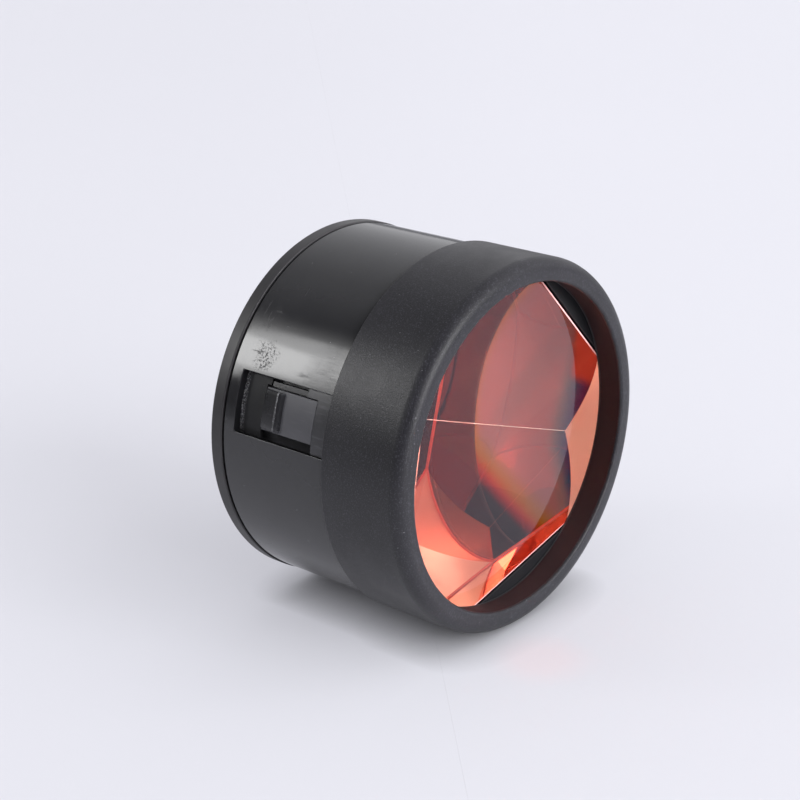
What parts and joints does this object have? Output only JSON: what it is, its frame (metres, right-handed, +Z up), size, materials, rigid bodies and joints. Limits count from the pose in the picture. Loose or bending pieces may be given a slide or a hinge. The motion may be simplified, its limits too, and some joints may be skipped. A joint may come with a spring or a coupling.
{
  "type": "surveying prism",
  "caption": "Round corner-cube glass reflector with a copper mirror coat, in a black snap-in canister with a hood, side latches and a screwed rear cap.",
  "frame": {"origin": "on the surface that the canister lies on, below the middle of its length", "axes": "+Z up, -Y the way the glass looks, +Y along the optical axis towards the rear cap, +X to the right seen from the front"},
  "size_m": [0.08, 0.055, 0.08],
  "materials": {
    "hood": "fine matt, soft grip coat",
    "barrel": "polished moulding with fine scratches",
    "cap": "satin moulding",
    "latch": "satin moulding",
    "cell": "matt",
    "glass": "polished optical glass",
    "copper_mirror": "copper coat under lacquer",
    "rubber": "matt",
    "cushion": "soft foam rubber",
    "follower": "moulded",
    "steel": "plain bright",
    "brass": "turned"
  },
  "bodies": {
    "canister": {"hood": "hood", "front_gasket": "rubber", "corner_cube": "glass", "mirror_coat": "copper_mirror", "prism_cell": "cell", "barrel": "barrel", "latch_plate_left": "latch", "latch_plate_upper": "latch", "latch_plate_lower": "latch", "cushion_left": "cushion", "cushion_upper": "cushion", "cushion_lower": "cushion", "follower": "follower", "spring_washer": "steel", "rear_seal": "rubber", "rear_cap": "cap", "cap_screws": "steel", "threaded_inserts": "brass"},
    "left_latch": {"latch_tongue_left": "latch"},
    "upper_latch": {"latch_tongue_upper": "latch"},
    "lower_latch": {"latch_tongue_lower": "latch"}
  },
  "joints": [
    {"name": "left_latch_press", "type": "hinge", "parent": "canister", "child": "left_latch", "pos_m": [-0.03626, -0.00263, 0.05102], "axis": [-0.2907, 0, -0.9568], "range_deg": [0, 5], "stiffness_Nm_per_rad": 0.9},
    {"name": "upper_latch_press", "type": "hinge", "parent": "canister", "child": "upper_latch", "pos_m": [0.02767, -0.00263, 0.0659], "axis": [-0.6833, 0, 0.7302], "range_deg": [0, 5], "stiffness_Nm_per_rad": 0.9},
    {"name": "lower_latch_press", "type": "hinge", "parent": "canister", "child": "lower_latch", "pos_m": [0.00859, -0.00263, 0.00309], "axis": [0.974, 0, 0.2267], "range_deg": [0, 5], "stiffness_Nm_per_rad": 0.9}
  ]
}
